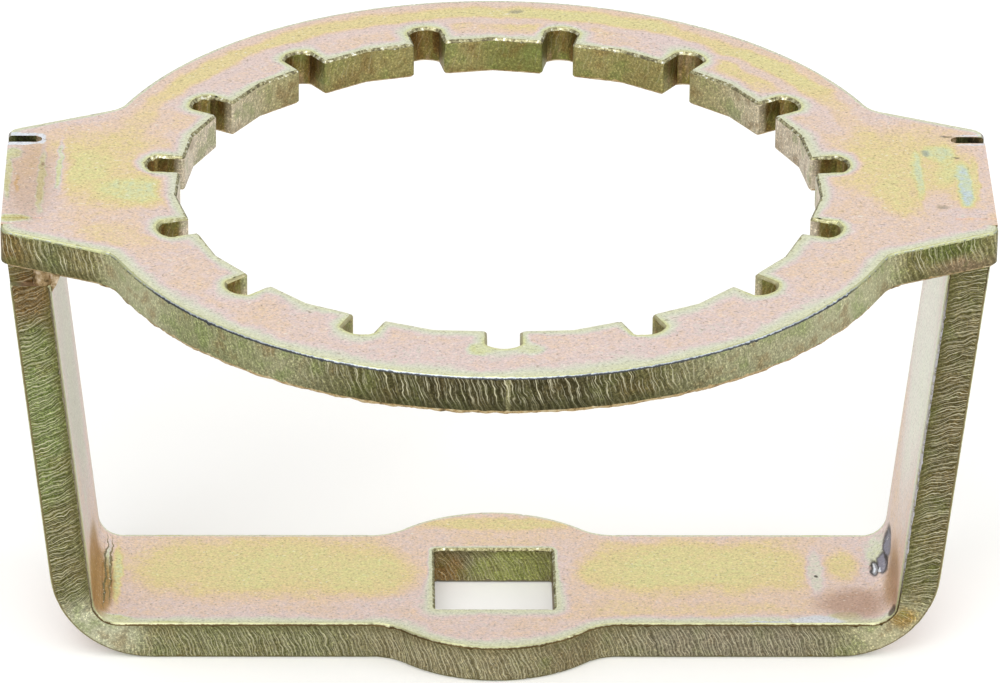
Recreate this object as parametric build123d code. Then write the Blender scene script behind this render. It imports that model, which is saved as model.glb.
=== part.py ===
"""Oil filter cap wrench: a fluted ring plate welded to a bent strap with a square drive hole.

Millimetres, +Z up. The origin is the centre of the drive hole, on the plane that the strap
rests on. The strap runs along X, its legs rise at both ends, and the ring lies flat on top.
The first flute of the ring points along -Y, towards the front of the wrench.
"""
import os
from math import asin, cos, degrees, hypot, radians, sin, tan

from build123d import *

# Ring plate: opening
flute_count = 15
flute_radius = 50.0
land_peak_radius = 50.6
flute_width = 5.0
flute_tip_radius = 55.5
flute_floor_sag = 1.3
flute_mouth_round = 0.5

# Ring plate: outline
ring_radius = 65.0
ring_thickness = 6.0
ear_reach = 77.4
ear_end_width = 35.0
ear_taper = 23.5
ear_root_round = 5.0
ear_corner_round = 2.0

# Yoke: strap, bends and legs
yoke_thickness = 6.3
yoke_width = 29.0
overall_height = 78.5
leg_splay = 5.8
bend_inside_radius = 4.0
bend_outside_radius = 16.0

# Yoke: boss and square drive hole
boss_radius = 22.0
boss_blend_radius = 8.0
drive_square = 19.1
drive_corner_round = 0.6

# Tabs on the legs and the open slots in the ears that they pass through
tab_width = 26.0
left_shoulder_drop = 5.3
right_shoulder_drop = 1.0
tab_side_gap = 2.2
left_root_gap = 0.6
right_root_gap = 3.7

# Welds
slit_length = 4.4
bead_reach = 1.5
bead_crown = 0.5
bead_bite = 0.5
left_bead_height = 7.0
right_bead_height = 4.5
left_bead_length = 27.2
right_bead_length = 24.0
gap_plug_radius = 1.4

# Broken edges of the plates
edge_break = 0.35

# Values worked out from the sizes above
ring_underside = overall_height - ring_thickness
splay_run = tan(radians(leg_splay))
leg_span_x = yoke_thickness / cos(radians(leg_splay))
ear_half = ear_end_width / 2
slot_half_width = tab_width / 2 + tab_side_gap


def leg_outside(height):
    """Distance from the middle to the outside face of a leg, at a height."""
    return ear_reach - (overall_height - height) * splay_run


def leg_inside(height):
    """Distance from the middle to the inside face of a leg, at a height."""
    return leg_outside(height) - leg_span_x


def flute_face():
    """One flute, pointing along +X: parallel sides and a shallow round floor."""
    start = flute_radius - flute_width
    shoulder = flute_tip_radius - flute_floor_sag
    half = flute_width / 2
    outline = Polyline((shoulder, half), (start, half), (start, -half), (shoulder, -half))
    outline += ThreePointArc((shoulder, -half), (flute_tip_radius, 0), (shoulder, half))
    return make_face(outline)


def opening_face():
    """The opening: two flats on each land, a flute between each pair of lands."""
    step = 360 / flute_count
    mouth = degrees(asin(flute_width / 2 / flute_radius))
    corners = []
    for index in range(flute_count):
        angle = -90 + index * step
        for turn, radius in ((-mouth, flute_radius), (mouth, flute_radius), (step / 2, land_peak_radius)):
            corners.append((radius * cos(radians(angle + turn)), radius * sin(radians(angle + turn))))
    opening = make_face(Polyline(corners, close=True))
    for index in range(flute_count):
        opening += Rot(Z=-90 + index * step) * flute_face()
    mouths = [v for v in opening.vertices() if abs(hypot(v.X, v.Y) - flute_radius) < flute_mouth_round / 10]
    return fillet(mouths, flute_mouth_round)


def ear_face(side):
    """A tapered ear, from inside the ring out to its straight end. Side is -1 or 1."""
    root = ring_radius * cos(radians(45))
    root_half = ear_half + (ear_reach - root) * tan(radians(ear_taper))
    corners = [(side * root, -root_half), (side * ear_reach, -ear_half), (side * ear_reach, ear_half),
               (side * root, root_half)]
    ear = make_face(Polyline(corners, close=True))
    ends = [v for v in ear.vertices() if abs(abs(v.X) - ear_reach) < ear_corner_round / 10]
    return fillet(ends, ear_corner_round)


def ear_slot(side, root_gap):
    """The open-ended slot in an ear, as a block to cut away."""
    inner = leg_inside(ring_underside) - root_gap
    outer = ear_reach + ring_thickness
    block = Box(outer - inner, 2 * slot_half_width, ring_thickness)
    return Pos(side * (inner + outer) / 2, 0, ring_underside + ring_thickness / 2) * block


def ring_plate():
    """The ring with its two ears, its fluted opening and a slot in each ear."""
    outline = Circle(ring_radius) + ear_face(-1) + ear_face(1)
    roots = [v for v in outline.vertices() if abs(hypot(v.X, v.Y) - ring_radius) < ear_root_round / 10]
    outline = fillet(roots, ear_root_round)
    blank = outline - opening_face()
    core = extrude(blank, ring_thickness - 2 * edge_break)
    rim = extrude(blank, edge_break, taper=45)
    plate = Pos(0, 0, ring_underside + edge_break) * (core + upside_down(rim))
    plate += Pos(0, 0, overall_height - edge_break) * rim
    return plate - ear_slot(-1, left_root_gap) - ear_slot(1, right_root_gap)


def upside_down(shape):
    """The same shape reflected in the ground plane."""
    return mirror(shape, Plane.XY)


def yoke_profile():
    """The bent strap seen from the front, with its legs running on above the ring."""
    top = overall_height + yoke_thickness
    outside = [(-leg_outside(top), top), (-leg_outside(0), 0), (leg_outside(0), 0), (leg_outside(top), top)]
    inside = [(leg_inside(top), top), (leg_inside(yoke_thickness), yoke_thickness),
              (-leg_inside(yoke_thickness), yoke_thickness), (-leg_inside(top), top)]
    profile = make_face(Polyline(outside + inside, close=True))
    low = [v for v in profile.vertices() if abs(v.Y) < yoke_thickness / 10]
    profile = fillet(low, bend_outside_radius)
    high = [v for v in profile.vertices() if abs(v.Y - yoke_thickness) < yoke_thickness / 10
            and abs(abs(v.X) - leg_inside(yoke_thickness)) < yoke_thickness / 10]
    return fillet(high, bend_inside_radius)


def yoke_plan():
    """The strap seen from above: straight sides with a round boss about the drive hole."""
    strap = Rectangle(3 * ear_reach, yoke_width)
    plan = strap + Circle(boss_radius)
    joins = [v for v in plan.vertices() if abs(v.X) < boss_radius]
    return fillet(joins, boss_blend_radius)


def shoulder_cuts(side, drop):
    """What is cut off both edges of a leg to leave its tab. Side is -1 or 1."""
    low = ring_underside - drop
    height = overall_height + 2 * yoke_thickness - low
    reach = 2 * yoke_thickness
    cuts = []
    for edge in (-1, 1):
        block = Box(2 * reach, yoke_width, height)
        x = side * leg_outside(ring_underside)
        cuts.append(Pos(x, edge * (tab_width + yoke_width) / 2, low + height / 2) * block)
    return cuts


def drive_hole():
    """The square drive hole with its edges broken on both faces of the strap."""
    shaft = extrude(RectangleRounded(drive_square, drive_square, drive_corner_round), yoke_thickness)
    mouth_size = drive_square + 2 * edge_break
    mouth = RectangleRounded(mouth_size, mouth_size, drive_corner_round + edge_break)
    flare = extrude(mouth, edge_break, taper=45)
    return shaft + flare + Pos(0, 0, yoke_thickness) * (Rot(X=180) * flare)


def yoke():
    """The bent strap with its boss, its drive hole and a tab on top of each leg."""
    bend = extrude(Plane.XZ * yoke_profile(), boss_radius + yoke_width, both=True)
    body = bend & extrude(yoke_plan(), overall_height + 2 * yoke_thickness)
    along = [e for e in body.edges() if is_outline(e)]
    body = chamfer(along, edge_break)
    for cut in shoulder_cuts(-1, left_shoulder_drop) + shoulder_cuts(1, right_shoulder_drop):
        body -= cut
    lid = Box(3 * ear_reach, 2 * yoke_width, 4 * yoke_thickness)
    body -= Pos(0, 0, overall_height + 2 * yoke_thickness) * lid
    return body - drive_hole()


def is_outline(edge):
    """True for an edge between a rolled face and a cut face of the strap."""
    if edge.geom_type != GeomType.LINE:
        return True
    run = edge.tangent_at(0.5)
    across = abs(run.Y) > 0.999
    upright = abs(run.Z) > 0.999
    on_top = edge.center().Z > overall_height
    return not (across or upright or (on_top and abs(run.X) > 0.9))


def slot_fill(side, root_gap):
    """Weld metal in an ear's slot, ground flush on top and in line with the leg at its end."""
    inner = leg_inside(ring_underside) - root_gap
    outline = [(inner, ring_underside), (leg_outside(ring_underside), ring_underside),
               (ear_reach, overall_height), (inner, overall_height)]
    section = make_face(Polyline([(side * x, z) for x, z in outline], close=True))
    fill = extrude(Plane.XZ * section, slot_half_width, both=True)
    slit = Box(slit_length, 2 * tab_side_gap, 3 * ring_thickness)
    return fill - Pos(side * (ear_reach - slit_length / 2), slot_half_width, overall_height) * slit


def corner_bead(side, root_gap, height, length):
    """The weld bead below the ear, in the corner between the ear and the leg."""
    foot_height = ring_underside - height
    corner = (side * (leg_inside(ring_underside) + bead_bite), ring_underside)
    toe = (side * (leg_inside(ring_underside) - root_gap - bead_reach), ring_underside)
    foot = (side * leg_inside(foot_height), foot_height)
    crown = ((toe[0] + foot[0]) / 2 - side * bead_crown, (toe[1] + foot[1]) / 2 - bead_crown)
    outline = Polyline(foot, corner, toe) + ThreePointArc(toe, crown, foot)
    return extrude(Plane.XZ * make_face(outline), length / 2, both=True)


def gap_plug(side, drop):
    """Weld metal that closes the inner end of the gap between a shoulder and the ear."""
    low = ring_underside - drop
    plug = Cylinder(gap_plug_radius, drop)
    x = leg_inside(ring_underside) + gap_plug_radius / 2
    return Pos(side * x, -tab_width / 2, low + drop / 2) * plug


def weld_left():
    """All the weld metal of the left joint, before the plates are taken out of it."""
    bead = corner_bead(-1, left_root_gap, left_bead_height, left_bead_length)
    return slot_fill(-1, left_root_gap) + bead + gap_plug(-1, left_shoulder_drop)


def weld_right():
    """All the weld metal of the right joint, before the plates are taken out of it."""
    bead = corner_bead(1, right_root_gap, right_bead_height, right_bead_length)
    return slot_fill(1, right_root_gap) + bead


if __name__ == "__main__":
    os.makedirs("parts", exist_ok=True)
    ring = ring_plate()
    strap = yoke()
    nodes = {
        "ring_plate": ring,
        "yoke": strap,
        "weld_left": weld_left() - strap - ring,
        "weld_right": weld_right() - strap - ring,
    }
    for name, shape in nodes.items():
        shape.label = name
        export_step(shape, f"parts/{name}.step")
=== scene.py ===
"""Oil filter cap wrench, dressed around its CAD frame.

A flame-cut ring plate, a flat bar bent to a U and two weld beads, all under one yellow passivated
zinc plating. The file is laid out as an add-on and is run as a script.
"""

import math
from collections import namedtuple

import bmesh
import bpy
from mathutils import Matrix, Vector, noise
from mathutils.kdtree import KDTree


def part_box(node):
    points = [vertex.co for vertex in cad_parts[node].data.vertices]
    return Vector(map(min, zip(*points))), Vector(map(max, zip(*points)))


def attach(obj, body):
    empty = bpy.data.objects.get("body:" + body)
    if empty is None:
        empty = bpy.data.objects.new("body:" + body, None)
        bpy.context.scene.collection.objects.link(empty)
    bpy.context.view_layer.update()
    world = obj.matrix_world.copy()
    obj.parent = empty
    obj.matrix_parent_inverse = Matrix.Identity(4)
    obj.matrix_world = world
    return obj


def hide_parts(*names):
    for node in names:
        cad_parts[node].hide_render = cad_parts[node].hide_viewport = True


bl_info = {
    "name": "Oil Filter Cap Wrench",
    "version": (1, 0, 0),
    "blender": (4, 5, 0),
    "location": "3D View > Sidebar > Wrench",
    "description": "Zinc plating, edge wear and weld beads of a one-piece oil filter cap wrench",
    "category": "Object",
}

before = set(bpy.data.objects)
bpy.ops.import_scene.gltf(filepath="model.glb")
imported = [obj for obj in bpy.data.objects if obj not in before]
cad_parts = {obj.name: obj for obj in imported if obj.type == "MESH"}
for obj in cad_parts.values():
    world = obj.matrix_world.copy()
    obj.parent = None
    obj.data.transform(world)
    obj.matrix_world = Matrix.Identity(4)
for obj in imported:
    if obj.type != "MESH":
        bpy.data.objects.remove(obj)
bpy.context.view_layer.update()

MM = 0.001
RING_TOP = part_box("ring_plate")[1].z
RING_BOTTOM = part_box("ring_plate")[0].z
HOLE_HALF = 9.55 * MM
EAR_START = 70 * MM
SLIT_START, SLIT_NEAR, SLIT_FAR = 73 * MM, 13 * MM, 15.2 * MM
ROLLED, CUT, RUBBED, BURR, STAINED = range(5)

# A cloud in the film: its place and reach in millimetres, the film's level there and how fully it shows.
Cloud = namedtuple("Cloud", "place reach level share")
# A mark on the surface: its place and reach in millimetres, its colour and how fully it covers.
Mark = namedtuple("Mark", "place reach colour share")
# A dent in a face: its place and reach in millimetres, and how deep it is.
Dent = namedtuple("Dent", "place reach depth")
# A patch of a cut face: its place and reach in millimetres, its colour, and how far drag lines show.
Patch = namedtuple("Patch", "place reach colour lines")


def linear(hex_colour):
    """An sRGB hex colour as the linear colour that Blender's sockets take."""
    parts = [int(hex_colour[at : at + 2], 16) / 255 for at in (1, 3, 5)]
    return tuple(p / 12.92 if p <= 0.04045 else ((p + 0.055) / 1.055) ** 2.4 for p in parts) + (1.0,)


# Levels of the film, from the thinnest to the thickest: each turns the light to another colour.
GOLD, OLIVE, LIME, SAGE, ROSE, PEACH, STRAW, LEMON, MINT, BLUE = (
    0.0, 0.1, 0.22, 0.34, 0.46, 0.58, 0.7, 0.82, 0.92, 1.0,
)

# The ring plate's film, as it lies on its upper face.
RING_CLOUDS = (
    Cloud((-61, 3, 78.5), (16, 18, 4), STRAW, 1.0),
    Cloud((-55, -4, 78.5), (8, 6, 4), 0.88, 0.95),
    Cloud((-65, 4, 78.5), (5, 8, 4), LEMON, 0.8),
    Cloud((-51, 21, 78.5), (10, 5, 4), 0.64, 0.8),
    Cloud((-57, -18, 78.5), (11, 5, 4), 0.66, 0.8),
    Cloud((-20, 55, 78.5), (36, 8, 4), 0.54, 0.8),
    Cloud((0, -60, 78.5), (52, 9, 4), 0.46, 0.85),
    Cloud((19, 58, 78.5), (32, 6, 4), 0.74, 0.95),
    Cloud((45, 39, 78.5), (17, 10, 4), 0.75, 0.9),
    Cloud((64, 4, 78.5), (14, 19, 4), 0.69, 1.0),
    Cloud((70, 5, 78.5), (2.6, 8, 4), 0.84, 0.9),
    Cloud((66, 3, 78.5), (1.2, 9, 4), 0.86, 0.7),
    Cloud((69, -9, 78.5), (3.4, 4, 4), 0.52, 0.9),
    Cloud((73.3, -2.5, 78.5), (1.6, 11, 4), 0.99, 0.9),
    Cloud((66.2, 0, 78.5), (0.7, 12, 4), 0.9, 0.8),
    Cloud((68.6, -8, 78.5), (3.0, 5.5, 4), 0.51, 0.9),
    Cloud((72.6, -11, 78.5), (4.5, 2.2, 4), 0.44, 0.85),
    Cloud((76.6, -2, 78.5), (1.5, 13, 4), 0.5, 0.9),
    Cloud((75.0, 1, 78.5), (0.8, 9, 4), 0.78, 0.85),
    Cloud((69.6, 9.6, 78.5), (3, 3, 4), 0.9, 0.9),
    Cloud((62, -6, 78.5), (3.5, 8, 4), 0.76, 0.8),
    Cloud((-70.3, -1, 78.5), (3.2, 13, 4), 0.5, 0.9),
    Cloud((-75.3, -1, 78.5), (2.6, 9, 4), 0.53, 0.9),
    Cloud((-71.6, 0, 78.5), (0.8, 13, 4), 0.13, 0.8),
    Cloud((-68.9, 5, 78.5), (0.6, 10, 4), 0.17, 0.8),
    Cloud((-76.9, 2, 78.5), (0.8, 9, 4), 0.12, 0.8),
    Cloud((-76.4, 9, 78.5), (1.8, 2.6, 4), 0.2, 0.9),
    Cloud((-3.4, -56, 78.5), (2.6, 2.4, 4), 0.17, 0.85),
    Cloud((4.2, -56, 78.5), (2.6, 2.2, 4), 0.24, 0.85),
    Cloud((-75.6, -13.2, 78.5), (3.2, 1.6, 4), 0.12, 0.9),
)

# A band of film round the back of the ring: its radius and reach in millimetres, its level and share.
Band = namedtuple("Band", "radius reach level share")
RING_BANDS = (Band(63.6, 1.5, 0.53, 0.75), Band(60.4, 2.4, 0.80, 0.75), Band(57.3, 1.5, 0.47, 0.8))

# Small dark marks on the ears.
RING_MARKS = (
    Mark((71.5, 15.3, 78.5), (1.2, 0.35, 1), "#6d6248", 0.8),
    Mark((72.3, 8.0, 78.5), (0.8, 0.4, 1), "#77705a", 0.8),
    Mark((69.2, -8.9, 78.5), (1.3, 0.7, 1), "#8c8676", 0.55),
    Mark((67.8, 9.6, 78.5), (0.8, 1.3, 1), "#9aa39a", 0.7),
    Mark((-71.4, 5.2, 78.5), (0.35, 0.9, 1), "#6d624d", 0.8),
    Mark((-75.4, -1.5, 78.5), (0.4, 3.6, 1), "#e0b671", 0.8),
    Mark((-73.5, 0, 78.5), (4.6, 17, 2), "#c2a381", 0.5),
    Mark((3.8, 60.6, 78.5), (1.6, 0.9, 1), "#8d8a80", 0.6),
)

# Bright zinc, washed bare along both sides of each ear's slit, more of it at the left.
for at, breadth, share in ((-75.2, 0.7, 0.95), (75.2, 0.35, 0.8)):
    for beside in (SLIT_NEAR / MM - 0.4, SLIT_FAR / MM + 0.4):
        RING_MARKS += (Mark((at, beside, 78.5), (2.8, breadth, 1), "#e3e9f0", share),)
RING_MARKS += (Mark((-72.2, 14.1, 78.5), (0.9, 1.7, 1), "#e3e9f0", 0.9),)

# The strap's film, paler pink towards its front edge and round the drive hole.
STRAP_CLOUDS = (
    Cloud((-38, 4, 6.3), (29, 12, 5), 0.74, 1.0),
    Cloud((-30, -11, 6.3), (34, 4, 5), 0.51, 0.9),
    Cloud((0, 14, 6.3), (18, 6, 5), 0.54, 0.9),
    Cloud((0, -17, 6.3), (22, 7, 5), 0.5, 0.95),
    Cloud((32, 4, 6.3), (22, 11, 5), 0.76, 1.0),
    Cloud((-20, 1, 6.3), (8.5, 9, 5), 0.8, 0.9),
    Cloud((21.5, 3, 6.3), (8.5, 9, 5), 0.74, 0.9),
    Cloud((1, 17.8, 6.3), (17, 2.4, 5), 0.73, 0.85),
    Cloud((30, -10.5, 6.3), (22, 3.6, 5), 0.6, 0.9),
    Cloud((54.5, -5, 6.3), (6, 14, 5), 0.52, 0.9),
    Cloud((52, 2, 6.3), (1.7, 9, 5), 0.33, 0.9),
    Cloud((56.6, 4, 6.3), (3.2, 6, 5), 0.72, 0.95),
    Cloud((56, -12, 6.3), (3, 1.6, 5), 0.18, 0.8),
    Cloud((62, 8, 6.3), (2, 6, 5), 0.3, 0.8),
    Cloud((-60.7, 1, 6.4), (1.0, 11, 3), 0.85, 0.95),
    Cloud((-62.3, 1, 7.1), (0.5, 11, 2), 0.2, 0.9),
    Cloud((-60.5, -13, 6.3), (3, 1.6, 5), 0.12, 0.8),
    Cloud((-70, 0, 45), (9, 17, 34), 0.34, 0.9),
    Cloud((70, 0, 45), (9, 17, 34), 0.34, 0.9),
)

# Heat and handling marks on the strap, most of them at its bends, with painted shade in its creases,
# its nick and round its gouges, painted glints on a gouge, and painted shade and light on the legs' inner faces.
STRAP_MARKS = (
    Mark((-63.2, -4, 11), (3, 12, 7), "#ab843f", 0.9),
    # Painted shade over the left leg's inner face and painted light over the right one's, evening out how the
    # lamps light them.
    Mark((-70, 0, 45), (9, 17, 34), "#c2beaf", 0.65),
    Mark((70, 0, 45), (9, 17, 34), "#f4f5ea", 0.6),
    Mark((57.8, -8, 6.3), (7.5, 5.5, 4), "#c0a08b", 0.85),
    Mark((64, -6, 10), (2, 9, 6), "#a9824c", 0.7),
    # Painted shade on the walls of the gouges at the right bend, then their grey floors.
    Mark((63.9, 7.0, 9.3), (0.95, 4.2, 2.6), "#3a3739", 0.95),
    Mark((62.9, 3.3, 7.5), (0.95, 3.8, 2.2), "#3a3739", 0.95),
    Mark((61.6, 3.0, 6.6), (0.85, 2.8, 1.6), "#3a3739", 0.95),
    Mark((63.9, 6.8, 9.3), (0.65, 3.4, 2.2), "#8f8c98", 0.95),
    Mark((62.8, 3.5, 7.5), (0.65, 3.0, 1.8), "#96939f", 0.95),
    Mark((61.6, 3.0, 6.6), (0.5, 2.1, 1.4), "#a7a8ac", 0.95),
    # Painted glints on the gouges' floors.
    Mark((61.5, 3.4, 6.6), (0.22, 1.5, 1.2), "#eef3f9", 0.95),
    Mark((62.4, 1.8, 7.2), (0.25, 1.0, 1.2), "#eef3f9", 0.95),
    # Painted shade in a nick at the right bend and along the two creases inside the left bend.
    Mark((63.4, -13.2, 8.2), (0.8, 1.4, 1.2), "#5f5548", 0.9),
    Mark((-62.75, 1, 7.3), (0.2, 12.5, 1.5), "#6f683f", 0.9),
    Mark((-61.85, 2, 6.7), (0.17, 11, 1.5), "#7d7548", 0.9),
    Mark((51.5, -13.6, 6.3), (4.6, 1.7, 1.5), "#dfe2e6", 0.95),
    Mark((43.5, -14.2, 6.3), (4, 0.7, 1.5), "#d5dbe2", 0.9),
    Mark((52.1, 0.6, 6.3), (0.4, 0.5, 1), "#4b4436", 0.9),
)

# Stretches of the broken edges: limed over at the ears' fronts, rubbed whitest along the legs.
RING_EDGE_MARKS = (
    Mark((66, -24, 78.3), (20, 16, 6), "#b3b585", 0.8),
    Mark((-66, -24, 78.3), (20, 16, 6), "#b3b585", 0.8),
)
STRAP_EDGE_MARKS = (
    Mark((67, -14.5, 40), (9, 3, 27), "#d3d3da", 0.75),
    Mark((-67, -14.5, 38), (9, 3, 30), "#bdb9a2", 0.45),
)

# Patches of the ring plate's cut side.
RING_PATCHES = (
    Patch((-75, -16, 75.5), (5, 5, 7), "#80693f", 0.7),
    Patch((-67, -18, 75.5), (5, 5, 7), "#60704a", 0.9),
    Patch((68, -20, 77.4), (9, 5, 2.6), "#6c7440", 0.8),
    Patch((71, -18, 73.6), (8, 5, 2.6), "#947f66", 0.5),
    # Painted shade on the ring plate's walls inside the ears' slits, without drag lines.
    Patch((-75.2, 15.2, 75.5), (4, 2, 6), "#3a362b", 0.0),
    Patch((75.2, 15.2, 75.5), (4, 2, 6), "#3a362b", 0.0),
    Patch((5, 50, 76), (8, 4, 6), "#7d7f48", 0.1),
    Patch((-44, -47, 75.5), (14, 12, 8), "#93956c", 0.3),
)

# Patches of the strap's cut sides: smooth where it is bent, greener and browner elsewhere.
STRAP_PATCHES = (
    Patch((-65, -14.5, 3.5), (10.5, 4, 8), "#cacaae", 0.08),
    Patch((65, -14.5, 3.5), (10.5, 4, 8), "#c6c19f", 0.08),
    Patch((-65, 14.5, 3.5), (10.5, 4, 8), "#c5c6a6", 0.08),
    Patch((65, 14.5, 3.5), (10.5, 4, 8), "#c6c19f", 0.08),
    Patch((-72, -14.5, 42), (5, 4, 20), "#7c8a52", 0.8),
    Patch((-74, -14.5, 66), (6, 4, 6), "#745c38", 0.5),
    Patch((73, -14.5, 40), (6, 4, 28), "#6a6142", 0.8),
    Patch((65.5, -14.5, 7.5), (2.5, 2, 2.5), "#a98b4c", 0.4),
    # Painted shade on the strap's tabs inside the ears' slits, without drag lines.
    Patch((-75, 13, 75), (4, 1.5, 8), "#3a362b", 0.0),
    Patch((75, 13, 75), (4, 1.5, 8), "#3a362b", 0.0),
    Patch((12, -18, 3), (9, 6, 5), "#8c8262", 0.5),
    Patch((38, -14.5, 3), (20, 4, 7), "#988f7c", 0.8),
    Patch((3, 9.5, 3), (9, 1.5, 5), "#bfc778", 0.8),
    Patch((-7.5, 9.5, 2.5), (4, 1.5, 4), "#ab8a56", 0.5),
    Patch((10, 0, 3), (1.1, 12, 6), "#6d4d3b", 0.0),
    Patch((-10, 0, 3), (1.1, 12, 6), "#6d4d3b", 0.0),
)


# Creases across the inside of the left bend, and a gouge and nicks at the right one.
STRAP_DENTS = (
    Dent((-62.75, 1, 7.3), (0.4, 14, 1.6), 0.25 * MM),
    Dent((-61.85, 2, 6.7), (0.4, 12, 1.6), 0.22 * MM),
    Dent((63.9, 7.0, 9.3), (1.0, 4.2, 2.6), 0.45 * MM),
    Dent((62.9, 3.3, 7.5), (1.0, 3.8, 2.2), 0.45 * MM),
    Dent((61.6, 3.0, 6.6), (0.9, 2.8, 1.6), 0.35 * MM),
    Dent((63.4, -13.2, 8.2), (0.8, 1.6, 1.4), 0.35 * MM),
    Dent((51.5, -13.2, 6.3), (4.4, 0.9, 1), 0.15 * MM),
)


# The film's green border, in millimetres: the places between which it narrows from the front to the
# back, its reach at the front, and the radius within which it is the same all round.
Border = namedtuple("Border", "front back reach within")
# How a plate was cut: its drag lines' pitch and slant, the depths between which they fade in metres,
# the tint of the face below that, and how much of the lines is lost.
Cut = namedtuple("Cut", "pitch slant fade tint sparse")


class WrenchPlating(bpy.types.PropertyGroup):
    """Colours of the yellow passivated zinc film, of its drag lines' crests with their painted highlight, and of
    its rubbed edges.
    """

    gold: bpy.props.FloatVectorProperty(
        name="Gold film",
        description="The thinnest film, in the corners of the cuts",
        subtype="COLOR",
        default=linear("#ab9560")[:3],
    )
    olive: bpy.props.FloatVectorProperty(
        name="Olive film",
        description="The film beside the thinnest",
        subtype="COLOR",
        default=linear("#c9bf84")[:3],
    )
    lime: bpy.props.FloatVectorProperty(
        name="Lime film",
        description="The film along the cut edges",
        subtype="COLOR",
        default=linear("#d8dbaa")[:3],
    )
    sage: bpy.props.FloatVectorProperty(
        name="Sage film",
        description="The pale grey-green film between lime and rose",
        subtype="COLOR",
        default=linear("#dbdcc8")[:3],
    )
    rose: bpy.props.FloatVectorProperty(
        name="Rose film",
        description="The film over the front and back of the ring plate",
        subtype="COLOR",
        default=linear("#e2cfca")[:3],
    )
    peach: bpy.props.FloatVectorProperty(
        name="Peach film",
        description="The film between rose and straw",
        subtype="COLOR",
        default=linear("#e7ceb6")[:3],
    )
    straw: bpy.props.FloatVectorProperty(
        name="Straw film",
        description="The film over the ears and the strap",
        subtype="COLOR",
        default=linear("#e5d29e")[:3],
    )
    lemon: bpy.props.FloatVectorProperty(
        name="Lemon film",
        description="The film in the middle of the straw clouds",
        subtype="COLOR",
        default=linear("#dfda9e")[:3],
    )
    mint: bpy.props.FloatVectorProperty(
        name="Mint film",
        description="The pale green before the thickest film",
        subtype="COLOR",
        default=linear("#d1dbba")[:3],
    )
    blue: bpy.props.FloatVectorProperty(
        name="Blue film",
        description="The thickest film, in the hollow over a weld",
        subtype="COLOR",
        default=linear("#c5d4da")[:3],
    )
    # The drag lines' pale crests, with the highlight they catch painted into their colour.
    cut_crest_highlight: bpy.props.FloatVectorProperty(
        name="Cut crests",
        description="The pale crests between the drag lines",
        subtype="COLOR",
        default=linear("#ddd7b8")[:3],
    )
    burr: bpy.props.FloatVectorProperty(
        name="Burr",
        description="The peach-gold line along the bottom of a cut",
        subtype="COLOR",
        default=linear("#b89d6f")[:3],
    )


class WrenchSurface(bpy.types.PropertyGroup):
    """Sizes of the marks that the making left on the wrench."""

    facet: bpy.props.FloatProperty(
        name="Facet",
        description="Longest mesh edge on the broad faces",
        unit="LENGTH",
        default=1.6 * MM,
    )
    rim_facet: bpy.props.FloatProperty(
        name="Rim facet",
        description="Longest mesh edge along the broken edges",
        unit="LENGTH",
        default=0.7 * MM,
    )
    nick: bpy.props.FloatProperty(
        name="Nick depth",
        description="How far the deepest nicks eat into an edge",
        unit="LENGTH",
        default=0.32 * MM,
    )
    dent_facet: bpy.props.FloatProperty(
        name="Dent facet",
        description="Longest mesh edge inside the bends, where dents are pressed",
        unit="LENGTH",
        default=0.5 * MM,
    )
    burr_height: bpy.props.FloatProperty(
        name="Burr height",
        description="How far the burr hangs from the ring plate's lower edge",
        unit="LENGTH",
        default=0.45 * MM,
    )
    lump: bpy.props.FloatProperty(
        name="Weld lump",
        description="How far the weld beads swell and sink",
        unit="LENGTH",
        default=0.45 * MM,
    )
    drag_pitch: bpy.props.FloatProperty(
        name="Drag line pitch",
        description="Distance between the flame cut's drag lines",
        unit="LENGTH",
        default=0.95 * MM,
    )
    grain: bpy.props.FloatProperty(
        name="Zinc grain",
        description="Size of the plating's grain, drawn as coarse as a render shows it",
        unit="LENGTH",
        default=0.4 * MM,
    )


class WrenchStage(bpy.types.PropertyGroup):
    """Where the camera stands."""

    elevation: bpy.props.FloatProperty(
        name="Elevation",
        description="Camera's height above the horizon",
        subtype="ANGLE",
        default=math.radians(28.256),
    )
    azimuth: bpy.props.FloatProperty(
        name="Azimuth",
        description="Camera's turn round the wrench",
        subtype="ANGLE",
        default=math.radians(1.21),
    )
    roll: bpy.props.FloatProperty(
        name="Roll",
        description="Camera's turn about its own line of sight",
        subtype="ANGLE",
        default=math.radians(0.635),
    )
    distance: bpy.props.FloatProperty(
        name="Distance",
        description="From the camera to the point it looks at",
        unit="LENGTH",
        default=1.22476,
    )
    lens: bpy.props.FloatProperty(
        name="Lens",
        description="Focal length in millimetres",
        default=277.87,
    )


def add_node(tree, kind, settings=None, inputs=None, stops=None):
    """Adds a node with its settings, its ramp's stops, and its inputs' values or links."""
    node = tree.nodes.new(kind)
    for name, value in (settings or {}).items():
        setattr(node, name, value)
    for name, value in (inputs or {}).items():
        if isinstance(value, bpy.types.NodeSocket):
            tree.links.new(value, node.inputs[name])
        else:
            node.inputs[name].default_value = value
    if stops:
        elements = node.color_ramp.elements
        while len(elements) < len(stops):
            elements.new(1.0)
        for element, (position, colour) in zip(elements, stops):
            element.position = position
            element.color = colour
    return node


def opaque(colour):
    """A property's colour with its alpha."""
    return (*colour, 1.0)


def grey(value):
    """A plain grey as a ramp's stop takes it."""
    return (value, value, value, 1.0)


def new_metal(name, roughness):
    """A metal's material, its node tree and its shader."""
    material = bpy.data.materials.new(name)
    material.use_nodes = True
    shader = material.node_tree.nodes["Principled BSDF"]
    shader.inputs["Metallic"].default_value = 1.0
    shader.inputs["Roughness"].default_value = roughness
    return material, material.node_tree, shader


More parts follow.
